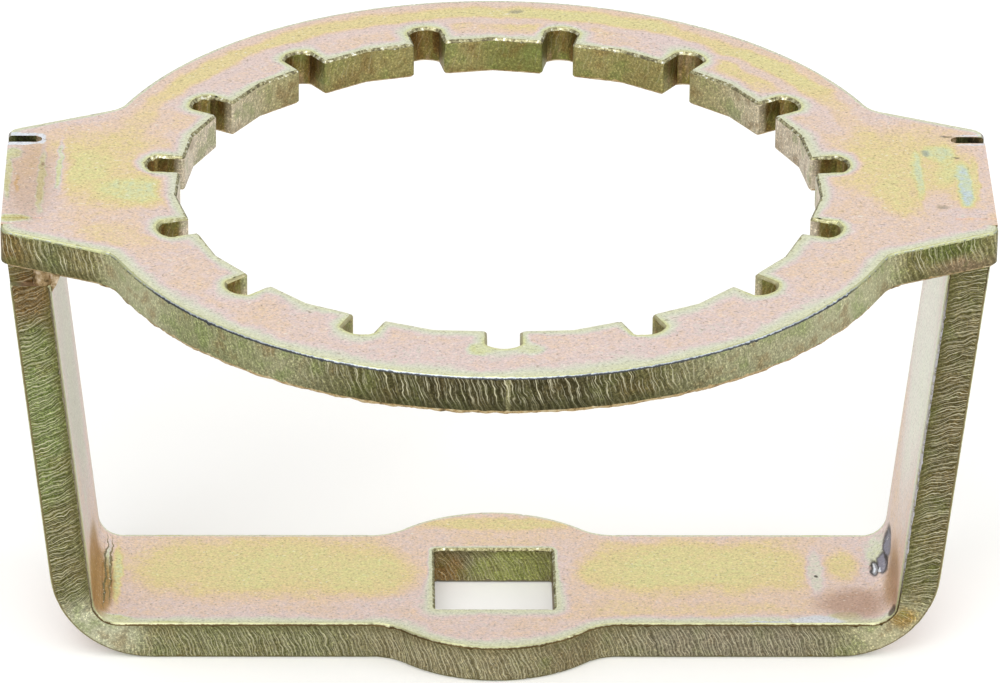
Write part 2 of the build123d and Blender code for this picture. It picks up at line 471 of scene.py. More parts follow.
def wandering(tree, place, size, reach):
    """The place, shifted by a smooth noise so that what is laid on it has a wandering outline."""
    shift = add_node(
        tree,
        "ShaderNodeTexNoise",
        inputs={"Vector": place, "Scale": 1 / size, "Detail": 3.0},
    ).outputs["Color"]
    centred = add_node(
        tree, "ShaderNodeVectorMath", {"operation": "SUBTRACT"}, {0: shift, 1: (0.5, 0.5, 0.5)}
    ).outputs[0]
    return add_node(
        tree,
        "ShaderNodeVectorMath",
        {"operation": "MULTIPLY_ADD"},
        {0: centred, 1: (reach, reach, 0.3 * reach), 2: place},
    ).outputs[0]


def share_of(tree, place, spot, full, crisp=0.45):
    """How far a spot covers each place: its full share in the middle, nothing outside its reach."""
    scale = [1 / (reach * MM) for reach in spot.reach]
    shift = [-at * MM * factor for at, factor in zip(spot.place, scale)]
    near = add_node(
        tree, "ShaderNodeVectorMath", {"operation": "MULTIPLY_ADD"}, {0: place, 1: scale, 2: shift}
    ).outputs[0]
    far = add_node(tree, "ShaderNodeVectorMath", {"operation": "LENGTH"}, {0: near}).outputs["Value"]
    return add_node(
        tree,
        "ShaderNodeMapRange",
        {"interpolation_type": "SMOOTHSTEP"},
        {"Value": far, "From Min": crisp, "From Max": 1.15, "To Min": full, "To Max": 0.0},
    ).outputs[0]


def film_level(tree, places, clouds, grain, crystal):
    """The film's level: placed clouds, a slow drift and the plating's grain."""
    broad, fine = places
    drift = add_node(
        tree,
        "ShaderNodeTexNoise",
        inputs={"Vector": broad, "Scale": 1 / (15 * MM), "Detail": 4.0, "Roughness": 0.55},
    ).outputs["Fac"]
    level = add_node(
        tree, "ShaderNodeMapRange", inputs={"Value": drift, "To Min": 0.30, "To Max": 0.72}
    ).outputs[0]
    for cloud in clouds:
        place = broad if max(cloud.reach[:2]) > 7 and min(cloud.reach[:2]) > 2.5 else fine
        share = share_of(tree, place, cloud, cloud.share)
        wish = add_node(
            tree,
            "ShaderNodeMapRange",
            inputs={"Value": drift, "To Min": cloud.level - 0.13, "To Max": cloud.level + 0.13},
        ).outputs[0]
        level = add_node(
            tree, "ShaderNodeMix", inputs={0: share, 2: level, 3: wish}
        ).outputs[0]
    for noise_value, weight in ((grain, 0.07), (crystal, 0.22)):
        centred = add_node(
            tree, "ShaderNodeMath", {"operation": "SUBTRACT"}, {0: noise_value, 1: 0.5}
        ).outputs[0]
        level = add_node(
            tree, "ShaderNodeMath", {"operation": "MULTIPLY_ADD"}, {0: centred, 1: weight, 2: level}
        ).outputs[0]
    return level


def banded(tree, place, level, bands):
    """The film lies in bands round the back of the ring, with the straw thickest in the middle."""
    flat = add_node(
        tree, "ShaderNodeVectorMath", {"operation": "MULTIPLY"}, {0: place, 1: (1, 1, 0)}
    ).outputs[0]
    radius = add_node(tree, "ShaderNodeVectorMath", {"operation": "LENGTH"}, {0: flat}).outputs["Value"]
    along = add_node(tree, "ShaderNodeSeparateXYZ", inputs={0: place}).outputs["Y"]
    for band in bands:
        off = add_node(
            tree, "ShaderNodeMath", {"operation": "SUBTRACT"}, {0: radius, 1: band.radius * MM}
        ).outputs[0]
        off = add_node(tree, "ShaderNodeMath", {"operation": "ABSOLUTE"}, {0: off}).outputs[0]
        share = add_node(
            tree,
            "ShaderNodeMapRange",
            {"interpolation_type": "SMOOTHSTEP"},
            {
                "Value": off,
                "From Min": 0.3 * band.reach * MM,
                "From Max": 1.2 * band.reach * MM,
                "To Min": band.share,
                "To Max": 0.0,
            },
        ).outputs[0]
        behind = add_node(
            tree, "ShaderNodeMapRange", inputs={"Value": along, "From Min": 12 * MM, "From Max": 34 * MM}
        ).outputs[0]
        share = add_node(tree, "ShaderNodeMath", {"operation": "MULTIPLY"}, {0: share, 1: behind}).outputs[0]
        level = add_node(
            tree, "ShaderNodeMix", inputs={0: share, 2: level, 3: band.level}
        ).outputs[0]
    return level


def bordered(tree, place, level, border):
    """The film thins to lime along the edges, and to gold where a flute's wall meets it."""
    gap = add_node(tree, "ShaderNodeAttribute", {"attribute_name": "rim_gap"}).outputs["Fac"]
    flat = add_node(
        tree, "ShaderNodeVectorMath", {"operation": "MULTIPLY"}, {0: place, 1: (1, 1, 0)}
    ).outputs[0]
    radius = add_node(tree, "ShaderNodeVectorMath", {"operation": "LENGTH"}, {0: flat}).outputs["Value"]
    along = add_node(tree, "ShaderNodeSeparateXYZ", inputs={0: place}).outputs["Y"]
    outer_reach = add_node(
        tree,
        "ShaderNodeMapRange",
        inputs={
            "Value": along,
            "From Min": border.front * MM,
            "From Max": border.back * MM,
            "To Min": border.reach * MM,
            "To Max": 0.6 * MM,
        },
    ).outputs[0]
    is_outer = add_node(
        tree,
        "ShaderNodeMapRange",
        inputs={"Value": radius, "From Min": border.within * MM, "From Max": (border.within + 3.5) * MM},
    ).outputs[0]
    reach = add_node(
        tree, "ShaderNodeMix", inputs={0: is_outer, 2: 2.9 * MM, 3: outer_reach}
    ).outputs[0]
    uneven = add_node(
        tree, "ShaderNodeTexNoise", inputs={"Vector": place, "Scale": 1 / (8 * MM), "Detail": 2.0}
    ).outputs["Fac"]
    uneven = add_node(
        tree,
        "ShaderNodeMapRange",
        inputs={"Value": uneven, "From Min": 0.3, "From Max": 0.7, "To Min": 0.5, "To Max": 1.4},
    ).outputs[0]
    reach = add_node(tree, "ShaderNodeMath", {"operation": "MULTIPLY"}, {0: reach, 1: uneven}).outputs[0]
    thinned = add_node(
        tree,
        "ShaderNodeMapRange",
        {"interpolation_type": "SMOOTHSTEP"},
        {"Value": gap, "From Min": 0.3 * MM, "From Max": reach, "To Min": 0.9, "To Max": 0.0},
    ).outputs[0]
    level = add_node(tree, "ShaderNodeMix", inputs={0: thinned, 2: level, 3: 0.27}).outputs[0]
    in_flute = add_node(
        tree, "ShaderNodeMapRange", inputs={"Value": radius, "From Min": 51.6 * MM, "From Max": 53 * MM}
    ).outputs[0]
    past_flute = add_node(
        tree,
        "ShaderNodeMapRange",
        inputs={"Value": radius, "From Min": 56.2 * MM, "From Max": 57 * MM, "To Min": 1.0, "To Max": 0.0},
    ).outputs[0]
    beside = add_node(
        tree,
        "ShaderNodeMapRange",
        inputs={"Value": gap, "From Min": 0.1 * MM, "From Max": 0.7 * MM, "To Min": 0.45, "To Max": 0.0},
    ).outputs[0]
    both = add_node(
        tree, "ShaderNodeMath", {"operation": "MULTIPLY"}, {0: in_flute, 1: past_flute}
    ).outputs[0]
    share = add_node(tree, "ShaderNodeMath", {"operation": "MULTIPLY"}, {0: both, 1: beside}).outputs[0]
    return add_node(tree, "ShaderNodeMix", inputs={0: share, 2: level, 3: 0.06}).outputs[0]


def rolled_plating(name, clouds, marks, border, bands=()):
    """Hot-rolled steel face under yellow passivated zinc.

    It gives a satin face with a fine grain, on which the thin film plays in soft clouds of rose,
    straw and lime, greener beside the edges, with dark pits left from the mill scale.
    """
    look = bpy.context.scene.wrench_plating
    sizes = bpy.context.scene.wrench_surface
    material, tree, shader = new_metal(name, 0.45)
    place = add_node(tree, "ShaderNodeTexCoord").outputs["Object"]
    grain = add_node(
        tree,
        "ShaderNodeTexNoise",
        inputs={"Vector": place, "Scale": 1 / sizes.grain, "Detail": 2.0, "Roughness": 0.7},
    ).outputs["Fac"]
    crystal = add_node(
        tree,
        "ShaderNodeTexNoise",
        inputs={"Vector": place, "Scale": 1 / (2.8 * sizes.grain), "Detail": 2.0, "Distortion": 0.6},
    ).outputs["Fac"]
    broad = wandering(tree, place, 9 * MM, 9 * MM)
    fine = wandering(tree, place, 2.2 * MM, 1.6 * MM)
    level = film_level(tree, (broad, fine), clouds, grain, crystal)
    if bands:
        level = banded(tree, wandering(tree, place, 6 * MM, 4 * MM), level, bands)
    level = bordered(tree, place, level, border)
    colour = add_node(
        tree,
        "ShaderNodeValToRGB",
        inputs={"Fac": level},
        stops=[
            (GOLD, opaque(look.gold)),
            (OLIVE, opaque(look.olive)),
            (LIME, opaque(look.lime)),
            (SAGE, opaque(look.sage)),
            (ROSE, opaque(look.rose)),
            (PEACH, opaque(look.peach)),
            (STRAW, opaque(look.straw)),
            (LEMON, opaque(look.lemon)),
            (MINT, opaque(look.mint)),
            (BLUE, opaque(look.blue)),
        ],
    ).outputs["Color"]
    for mark in marks:
        share = share_of(tree, fine, mark, mark.share, 0.75 if mark.share > 0.85 else 0.45)
        colour = add_node(
            tree,
            "ShaderNodeMixRGB",
            inputs={"Fac": share, "Color1": colour, "Color2": linear(mark.colour)},
        ).outputs[0]
    speckle = add_node(
        tree,
        "ShaderNodeValToRGB",
        inputs={"Fac": grain},
        stops=[(0.28, grey(0.6)), (0.42, grey(0.93)), (0.56, grey(1.0)), (0.70, grey(1.18))],
    ).outputs["Color"]
    colour = add_node(
        tree,
        "ShaderNodeMixRGB",
        {"blend_type": "MULTIPLY"},
        {"Fac": 0.9, "Color1": colour, "Color2": speckle},
    ).outputs[0]
    stretched = add_node(
        tree, "ShaderNodeMapping", inputs={"Vector": fine, "Scale": (0.7, 1.0, 1.0)}
    ).outputs[0]
    specks = add_node(
        tree,
        "ShaderNodeTexNoise",
        inputs={"Vector": stretched, "Scale": 1 / (0.45 * MM), "Detail": 1.0},
    ).outputs["Fac"]
    for bottom, top, tint in ((0.67, 0.76, "#8f7d62"), (0.33, 0.24, "#f4f0e4")):
        share = add_node(
            tree,
            "ShaderNodeMapRange",
            inputs={"Value": specks, "From Min": bottom, "From Max": top, "To Max": 0.6},
        ).outputs[0]
        colour = add_node(
            tree, "ShaderNodeMixRGB", inputs={"Fac": share, "Color1": colour, "Color2": linear(tint)}
        ).outputs[0]
    tree.links.new(colour, shader.inputs["Base Color"])
    gloss = add_node(
        tree, "ShaderNodeMapRange", inputs={"Value": crystal, "To Min": 0.34, "To Max": 0.54}
    ).outputs[0]
    tree.links.new(gloss, shader.inputs["Roughness"])
    swell = add_node(
        tree,
        "ShaderNodeBump",
        inputs={"Strength": 0.6, "Distance": 0.10 * MM, "Height": crystal},
    ).outputs[0]
    bump = add_node(
        tree,
        "ShaderNodeBump",
        inputs={"Strength": 0.7, "Distance": 0.08 * MM, "Height": grain, "Normal": swell},
    ).outputs[0]
    tree.links.new(bump, shader.inputs["Normal"])
    return material


def ring_cut_ground(tree, place):
    """The ring plate's cut colour, with how far drag lines show in its alpha.

    Outside it is dark at the front and smooth and pale towards the ears; inside, the lands are
    olive, paler at the sides, and the flutes are dark.
    """
    parts = add_node(tree, "ShaderNodeSeparateXYZ", inputs={0: place})
    aside = add_node(tree, "ShaderNodeMath", {"operation": "ABSOLUTE"}, {0: parts.outputs["X"]}).outputs[0]
    outward = add_node(
        tree, "ShaderNodeMapRange", inputs={"Value": aside, "From Max": 80 * MM}
    ).outputs[0]
    outside = add_node(
        tree,
        "ShaderNodeValToRGB",
        inputs={"Fac": outward},
        stops=[
            (0.14, (*linear("#5b563c")[:3], 1.0)),
            (0.28, (*linear("#6d6945")[:3], 0.8)),
            (0.42, (*linear("#9f9d7b")[:3], 0.3)),
            (0.58, (*linear("#aaa888")[:3], 0.15)),
            (0.74, (*linear("#bab995")[:3], 0.10)),
            (0.79, (*linear("#8d865c")[:3], 0.9)),
        ],
    )
    inside = add_node(
        tree,
        "ShaderNodeValToRGB",
        inputs={"Fac": outward},
        stops=[(0.34, linear("#9d9562")), (0.44, linear("#b3ac84")), (0.56, linear("#d2c6b2"))],
    ).outputs["Color"]
    flat = add_node(
        tree, "ShaderNodeVectorMath", {"operation": "MULTIPLY"}, {0: place, 1: (1, 1, 0)}
    ).outputs[0]
    radius = add_node(tree, "ShaderNodeVectorMath", {"operation": "LENGTH"}, {0: flat}).outputs["Value"]
    fluted = add_node(
        tree, "ShaderNodeMapRange", inputs={"Value": radius, "From Min": 50.9 * MM, "From Max": 51.8 * MM}
    ).outputs[0]
    stretched = add_node(
        tree, "ShaderNodeMapping", inputs={"Vector": place, "Scale": (1.0, 1.0, 0.2)}
    ).outputs[0]
    slivers = add_node(
        tree, "ShaderNodeTexNoise", inputs={"Vector": stretched, "Scale": 1 / (1.6 * MM), "Detail": 2.0}
    ).outputs["Fac"]
    flute = add_node(
        tree,
        "ShaderNodeValToRGB",
        inputs={"Fac": slivers},
        stops=[(0.40, linear("#7d6538")), (0.54, linear("#847a45")), (0.66, linear("#9c8763"))],
    ).outputs["Color"]
    inside = add_node(
        tree, "ShaderNodeMixRGB", inputs={"Fac": fluted, "Color1": inside, "Color2": flute}
    ).outputs[0]
    is_outer = add_node(
        tree, "ShaderNodeMath", {"operation": "GREATER_THAN"}, {0: radius, 1: 58.5 * MM}
    ).outputs[0]
    colour = add_node(
        tree,
        "ShaderNodeMixRGB",
        inputs={"Fac": is_outer, "Color1": inside, "Color2": outside.outputs["Color"]},
    ).outputs[0]
    start_share = share_of(tree, place, Mark((0.5, -65, 75.5), (0.42, 4, 9), "", 0), 0.7)
    colour = add_node(
        tree,
        "ShaderNodeMixRGB",
        inputs={"Fac": start_share, "Color1": colour, "Color2": linear("#a8a377")},
    ).outputs[0]
    lines = add_node(
        tree, "ShaderNodeMix", inputs={0: is_outer, 2: 0.2, 3: outside.outputs["Alpha"]}
    ).outputs[0]
    return colour, lines


def strap_cut_ground(tree, place):
    """The strap's cut colour, browner at the boss and on the legs than between, and its drag lines."""
    parts = add_node(tree, "ShaderNodeSeparateXYZ", inputs={0: place})
    aside = add_node(tree, "ShaderNodeMath", {"operation": "ABSOLUTE"}, {0: parts.outputs["X"]}).outputs[0]
    outward = add_node(
        tree, "ShaderNodeMapRange", inputs={"Value": aside, "From Max": 80 * MM}
    ).outputs[0]
    along = add_node(
        tree,
        "ShaderNodeValToRGB",
        inputs={"Fac": outward},
        stops=[
            (0.2, (*linear("#a39a78")[:3], 0.95)),
            (0.34, (*linear("#92926a")[:3], 0.95)),
            (0.74, (*linear("#8f8f64")[:3], 0.8)),
            (0.86, (*linear("#6f6c44")[:3], 0.8)),
        ],
    )
    return along.outputs["Color"], along.outputs["Alpha"]


def flame_cut_plating(name, ground, patches, cut):
    """Flame-cut steel face under yellow passivated zinc.

    It gives an olive face, mottled with green and brown and with small painted glints, and crossed
    by thin pale drag lines that trail as the cut goes down. Their crests carry a painted highlight and
    the valleys between them painted shade. They fade between two depths, where the face takes
    another tint.
    """
    look = bpy.context.scene.wrench_plating
    material, tree, shader = new_metal(name, 0.48)
    place = add_node(tree, "ShaderNodeTexCoord").outputs["Object"]
    colour, shown = ground(tree, place)
    loose = wandering(tree, place, 5 * MM, 4 * MM)
    for patch in patches:
        share = share_of(tree, loose, patch, 0.9)
        colour = add_node(
            tree,
            "ShaderNodeMixRGB",
            inputs={"Fac": share, "Color1": colour, "Color2": linear(patch.colour)},
        ).outputs[0]
        shown = add_node(tree, "ShaderNodeMix", inputs={0: share, 2: shown, 3: patch.lines}).outputs[0]
    hue = add_node(
        tree,
        "ShaderNodeTexNoise",
        inputs={"Vector": place, "Scale": 1 / (4 * MM), "Detail": 4.0, "Roughness": 0.6},
    ).outputs["Fac"]
    loud = add_node(
        tree,
        "ShaderNodeMapRange",
        inputs={"Value": shown, "From Min": 0.3, "From Max": 1.0, "To Min": 0.48, "To Max": 0.12},
    ).outputs[0]
    for bottom, top, tint in ((0.52, 0.64, "#7f9050"), (0.47, 0.35, "#85683f")):
        share = add_node(
            tree, "ShaderNodeMapRange", inputs={"Value": hue, "From Min": bottom, "From Max": top, "To Max": loud}
        ).outputs[0]
        colour = add_node(
            tree, "ShaderNodeMixRGB", inputs={"Fac": share, "Color1": colour, "Color2": linear(tint)}
        ).outputs[0]
    grain = add_node(
        tree,
        "ShaderNodeTexNoise",
        inputs={"Vector": place, "Scale": 1 / (0.34 * MM), "Detail": 2.0, "Roughness": 0.7},
    ).outputs["Fac"]
    # Grain that darkens the face in spots and, at its top, paints small bright glints.
    mottle_and_glints = add_node(
        tree,
        "ShaderNodeValToRGB",
        inputs={"Fac": grain},
        stops=[(0.3, grey(0.45)), (0.5, grey(1.0)), (0.6, grey(1.35)), (0.7, grey(2.6))],
    ).outputs["Color"]
    mottled = add_node(
        tree, "ShaderNodeMapRange", inputs={"Value": shown, "From Max": 0.4, "To Min": 0.4, "To Max": 0.85}
    ).outputs[0]
    colour = add_node(
        tree,
        "ShaderNodeMixRGB",
        {"blend_type": "MULTIPLY"},
        {"Fac": mottled, "Color1": colour, "Color2": mottle_and_glints},
    ).outputs[0]
    unrolled = add_node(tree, "ShaderNodeUVMap", {"uv_map": "cut_run"}).outputs[0]
    unrolled_parts = add_node(tree, "ShaderNodeSeparateXYZ", inputs={0: unrolled})
    run, depth = unrolled_parts.outputs["X"], unrolled_parts.outputs["Y"]
    deep = add_node(
        tree,
        "ShaderNodeMapRange",
        {"interpolation_type": "SMOOTHSTEP"},
        {"Value": depth, "From Min": cut.fade[0], "From Max": cut.fade[1], "To Max": 0.4},
    ).outputs[0]
    deep_shown = add_node(
        tree, "ShaderNodeMath", {"operation": "MULTIPLY"}, {0: deep, 1: shown}
    ).outputs[0]
    colour = add_node(
        tree,
        "ShaderNodeMixRGB",
        inputs={"Fac": deep_shown, "Color1": colour, "Color2": linear(cut.tint)},
    ).outputs[0]
    crest, ripple = drag_crests(tree, place, (run, depth), cut)
    # Painted shade in the valleys between the drag lines' crests.
    valley_shade = add_node(
        tree, "ShaderNodeMapRange", inputs={"Value": ripple, "From Max": 0.5, "To Min": 0.0, "To Max": 0.58}
    ).outputs[0]
    valley_shade = add_node(tree, "ShaderNodeMath", {"operation": "MULTIPLY"}, {0: valley_shade, 1: shown}).outputs[0]
    colour = add_node(
        tree,
        "ShaderNodeMixRGB",
        {"blend_type": "MULTIPLY"},
        {"Fac": valley_shade, "Color1": colour, "Color2": linear("#6f6a50")},
    ).outputs[0]
    strength = add_node(tree, "ShaderNodeMath", {"operation": "MULTIPLY"}, {0: crest, 1: shown}).outputs[0]
    faded = add_node(
        tree,
        "ShaderNodeMapRange",
        {"interpolation_type": "SMOOTHSTEP"},
        {"Value": depth, "From Min": cut.fade[0], "From Max": cut.fade[1], "To Min": 1.0, "To Max": 0.15},
    ).outputs[0]
    strength = add_node(
        tree, "ShaderNodeMath", {"operation": "MULTIPLY"}, {0: strength, 1: faded}
    ).outputs[0]
    # The crests' pale colour, with a painted highlight on it.
    colour = add_node(
        tree,
        "ShaderNodeMixRGB",
        inputs={"Fac": strength, "Color1": colour, "Color2": opaque(look.cut_crest_highlight)},
    ).outputs[0]
    tree.links.new(colour, shader.inputs["Base Color"])
    rough = add_node(
        tree, "ShaderNodeMath", {"operation": "MULTIPLY_ADD"}, {0: grain, 1: 0.35, 2: strength}
    ).outputs[0]
    bump = add_node(
        tree,
        "ShaderNodeBump",
        inputs={"Strength": 0.7, "Distance": 0.13 * MM, "Height": rough},
    ).outputs[0]
    tree.links.new(bump, shader.inputs["Normal"])
    return material


def drag_crests(tree, place, unrolled, cut):
    """Crests across the cut that trail more the deeper they go, and how far each place is from one.

    There is a strong set and a finer, weaker one. In the drive hole they lean the other way.
    """
    run, depth = unrolled
    flat = add_node(
        tree, "ShaderNodeVectorMath", {"operation": "MULTIPLY"}, {0: place, 1: (1, 1, 0)}
    ).outputs[0]
    radius = add_node(tree, "ShaderNodeVectorMath", {"operation": "LENGTH"}, {0: flat}).outputs["Value"]
    slant = add_node(
        tree,
        "ShaderNodeMapRange",
        inputs={
            "Value": radius,
            "From Min": 14 * MM,
            "From Max": 15 * MM,
            "To Min": -1.4 * cut.slant,
            "To Max": cut.slant,
        },
    ).outputs[0]
    steeper = add_node(
        tree, "ShaderNodeMath", {"operation": "MULTIPLY_ADD"}, {0: depth, 1: 90.0, 2: 0.6}
    ).outputs[0]
    lag = add_node(tree, "ShaderNodeMath", {"operation": "MULTIPLY"}, {0: depth, 1: steeper}).outputs[0]
    trail = add_node(
        tree, "ShaderNodeMath", {"operation": "MULTIPLY_ADD"}, {0: lag, 1: slant, 2: run}
    ).outputs[0]
    spread = add_node(tree, "ShaderNodeCombineXYZ", inputs={"X": trail, "Y": depth}).outputs[0]
    sway = add_node(
        tree,
        "ShaderNodeTexNoise",
        {"noise_dimensions": "2D"},
        {"Vector": spread, "Scale": 1 / (2.6 * MM), "Detail": 2.0},
    ).outputs["Fac"]
    swayed_run = add_node(
        tree, "ShaderNodeMath", {"operation": "MULTIPLY_ADD"}, {0: sway, 1: 1.3 * MM, 2: trail}
    ).outputs[0]
    swayed = add_node(tree, "ShaderNodeCombineXYZ", inputs={"X": swayed_run, "Y": depth}).outputs[0]
    crests, ripple = None, None
    for share_of_pitch, width, strength in ((1.0, 0.12, 1.0), (0.5, 0.2, 0.5)):
        step = cut.pitch * share_of_pitch
        border = add_node(
            tree,
            "ShaderNodeTexVoronoi",
            {"voronoi_dimensions": "1D", "feature": "DISTANCE_TO_EDGE"},
            {"W": swayed_run, "Scale": 1 / step},
        ).outputs["Distance"]
        thin = add_node(
            tree,
            "ShaderNodeMapRange",
            {"interpolation_type": "SMOOTHSTEP"},
            {"Value": border, "From Min": 0.02, "From Max": width, "To Min": strength, "To Max": 0.0},
        ).outputs[0]
        streaks = add_node(
            tree, "ShaderNodeMapping", inputs={"Vector": swayed, "Scale": (1 / step, 0.25 / step, 1)}
        ).outputs[0]
        patchy = add_node(
            tree, "ShaderNodeTexNoise", {"noise_dimensions": "2D"}, {"Vector": streaks, "Scale": 0.9}
        ).outputs["Fac"]
        lit = add_node(
            tree,
            "ShaderNodeMapRange",
            inputs={"Value": patchy, "From Min": cut.sparse, "From Max": cut.sparse + 0.2},
        ).outputs[0]
        drawn = add_node(tree, "ShaderNodeMath", {"operation": "MULTIPLY"}, {0: thin, 1: lit}).outputs[0]
        if crests is None:
            crests, ripple = drawn, border
        else:
            crests = add_node(
                tree, "ShaderNodeMath", {"operation": "MAXIMUM"}, {0: crests, 1: drawn}
            ).outputs[0]
    return crests, ripple


def rubbed_and_shaded_edge(name, bright, dark, calm, marks=()):
    """Broken edge rubbed through to pale zinc, with painted shade along its side by the cut.

    It gives a thin bright line between the pale film and a dark line of painted shade where the cut
    starts, with small nicks where that shade reaches into the bright line. Within the calm radius the
    line is broken into dark and pale specks towards the back, and beyond it the line dulls to grey
    there. The marks tint single stretches.
    """
    look = bpy.context.scene.wrench_plating
    material, tree, shader = new_metal(name, 0.42)
    place = add_node(tree, "ShaderNodeTexCoord").outputs["Object"]
    nicks = add_node(
        tree,
        "ShaderNodeTexNoise",
        inputs={"Vector": place, "Scale": 1 / (0.7 * MM), "Detail": 3.0, "Roughness": 0.7},
    ).outputs["Fac"]
    across = add_node(tree, "ShaderNodeAttribute", {"attribute_name": "edge_share"}).outputs["Fac"]
    level = add_node(
        tree, "ShaderNodeMath", {"operation": "MULTIPLY_ADD"}, {0: nicks, 1: 1.1, 2: across}
    ).outputs[0]
    level = add_node(
        tree, "ShaderNodeMapRange", inputs={"Value": level, "From Min": 0.35, "From Max": 1.75}
    ).outputs[0]
    colour = add_node(
        tree,
        "ShaderNodeValToRGB",
        inputs={"Fac": level},
        # The last stop, the dark colour, is painted shade on the edge's side by the cut.
        stops=[
            (0.28, linear("#bfc196")),
            (0.41, linear(bright)),
            (0.49, linear(bright)),
            (0.59, linear(dark)),
        ],
    ).outputs["Color"]
    flat = add_node(
        tree, "ShaderNodeVectorMath", {"operation": "MULTIPLY"}, {0: place, 1: (1, 1, 0)}
    ).outputs[0]
    radius = add_node(tree, "ShaderNodeVectorMath", {"operation": "LENGTH"}, {0: flat}).outputs["Value"]
    along = add_node(tree, "ShaderNodeSeparateXYZ", inputs={0: place}).outputs["Y"]
    behind = add_node(
        tree,
        "ShaderNodeMapRange",
        inputs={"Value": along, "From Min": -5 * MM, "From Max": 20 * MM, "To Max": 0.7},
    ).outputs[0]
    colour = add_node(
        tree,
        "ShaderNodeMixRGB",
        inputs={"Fac": behind, "Color1": colour, "Color2": linear("#a79e95")},
    ).outputs[0]
    stained = add_node(
        tree,
        "ShaderNodeMapRange",
        inputs={"Value": radius, "From Min": calm - MM, "From Max": calm, "To Min": 0.85, "To Max": 0.0},
    ).outputs[0]
    serrated = add_node(
        tree,
        "ShaderNodeValToRGB",
        inputs={"Fac": nicks},
        stops=[
            (0.40, linear("#4f482b")),
            (0.48, linear("#8a855d")),
            (0.57, linear("#aaa67d")),
            (0.66, linear("#e6e8de")),
        ],
    ).outputs["Color"]
    in_front = add_node(
        tree,
        "ShaderNodeMapRange",
        inputs={"Value": along, "From Min": -30 * MM, "From Max": -5 * MM, "To Min": 0.8, "To Max": 0.0},
    ).outputs[0]
    serrated = add_node(
        tree,
        "ShaderNodeMixRGB",
        inputs={"Fac": in_front, "Color1": serrated, "Color2": linear("#a9a276")},
    ).outputs[0]
    colour = add_node(
        tree,
        "ShaderNodeMixRGB",
        inputs={"Fac": stained, "Color1": colour, "Color2": serrated},
    ).outputs[0]
    spared = add_node(
        tree,
        "ShaderNodeMapRange",
        inputs={"Value": nicks, "From Min": 0.42, "From Max": 0.52, "To Min": 0.35, "To Max": 1.0},
    ).outputs[0]
    for mark in marks:
        share = share_of(tree, place, mark, mark.share, 0.75)
        share = add_node(tree, "ShaderNodeMath", {"operation": "MULTIPLY"}, {0: share, 1: spared}).outputs[0]
        colour = add_node(
            tree,
            "ShaderNodeMixRGB",
            inputs={"Fac": share, "Color1": colour, "Color2": linear(mark.colour)},
        ).outputs[0]
    tree.links.new(colour, shader.inputs["Base Color"])
    bump = add_node(
        tree,
        "ShaderNodeBump",
        inputs={"Strength": 0.4, "Distance": 0.08 * MM, "Height": nicks},
    ).outputs[0]
    tree.links.new(bump, shader.inputs["Normal"])
    return material


def burr_edge(name):
    """Broken edge at the bottom of the cut, where a little burr is left under the zinc.

    It gives a thin peach-gold line with brown breaks in it.
    """
    look = bpy.context.scene.wrench_plating
    material, tree, shader = new_metal(name, 0.45)
    place = add_node(tree, "ShaderNodeTexCoord").outputs["Object"]
    breaks = add_node(
        tree,
        "ShaderNodeTexNoise",
        inputs={"Vector": place, "Scale": 1 / (1.1 * MM), "Detail": 4.0, "Roughness": 0.7},
    ).outputs["Fac"]
    colour = add_node(
        tree,
        "ShaderNodeValToRGB",
        inputs={"Fac": breaks},
        stops=[(0.34, linear("#6f5d3c")), (0.48, opaque(look.burr)), (0.66, linear("#d0c29f"))],
    ).outputs["Color"]
    tree.links.new(colour, shader.inputs["Base Color"])
    bump = add_node(
        tree,
        "ShaderNodeBump",
        inputs={"Strength": 0.5, "Distance": 0.08 * MM, "Height": breaks},
    ).outputs[0]
    tree.links.new(bump, shader.inputs["Normal"])
    return material


def weld_plating(name):
    """Weld metal under the same zinc.

    It gives a duller, pinkish-brown bead, rough with its ripples and darker in their valleys.
    """
    material, tree, shader = new_metal(name, 0.5)
    place = add_node(tree, "ShaderNodeTexCoord").outputs["Object"]
    lumps = add_node(
        tree,
        "ShaderNodeTexNoise",
        inputs={"Vector": place, "Scale": 1 / (1.4 * MM), "Detail": 4.0, "Roughness": 0.65},
    ).outputs["Fac"]
    colour = add_node(
        tree,
        "ShaderNodeValToRGB",
        inputs={"Fac": lumps},
        stops=[
            (0.3, linear("#59492f")),
            (0.47, linear("#a48c66")),
            (0.62, linear("#dccab0")),
        ],
    ).outputs["Color"]
    tree.links.new(colour, shader.inputs["Base Color"])
    bump = add_node(
        tree,
        "ShaderNodeBump",
        inputs={"Strength": 0.7, "Distance": 0.2 * MM, "Height": lumps},
    ).outputs[0]
    tree.links.new(bump, shader.inputs["Normal"])
    return material


def merged_copy(node_name, piece_name):
    """A new piece from a CAD node's mesh, with its loose triangles merged, left in edit mode."""
    bpy.ops.object.select_all(action="DESELECT")
    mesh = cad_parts[node_name].data.copy()
    mesh.name = piece_name
    mesh.materials.clear()
    piece = bpy.data.objects.new(piece_name, mesh)
    bpy.context.scene.collection.objects.link(piece)
    bpy.context.view_layer.objects.active = piece
    piece.select_set(True)
    bpy.ops.mesh.customdata_custom_splitnormals_clear()
    bpy.ops.object.mode_set(mode="EDIT")
    bpy.ops.mesh.select_mode(type="EDGE")
    bpy.ops.mesh.select_all(action="SELECT")
    bpy.ops.mesh.remove_doubles(threshold=0.002 * MM)
    bpy.ops.mesh.mark_sharp(clear=True)
    return piece


def paint_faces(piece, kind_of_face):
    """Gives each face the material slot that its normal and place call for."""
    mesh = bmesh.from_edit_mesh(piece.data)
    for face in mesh.faces:
        face.smooth = True
        face.material_index = kind_of_face(face.normal, face.calc_center_median())
    bmesh.update_edit_mesh(piece.data)


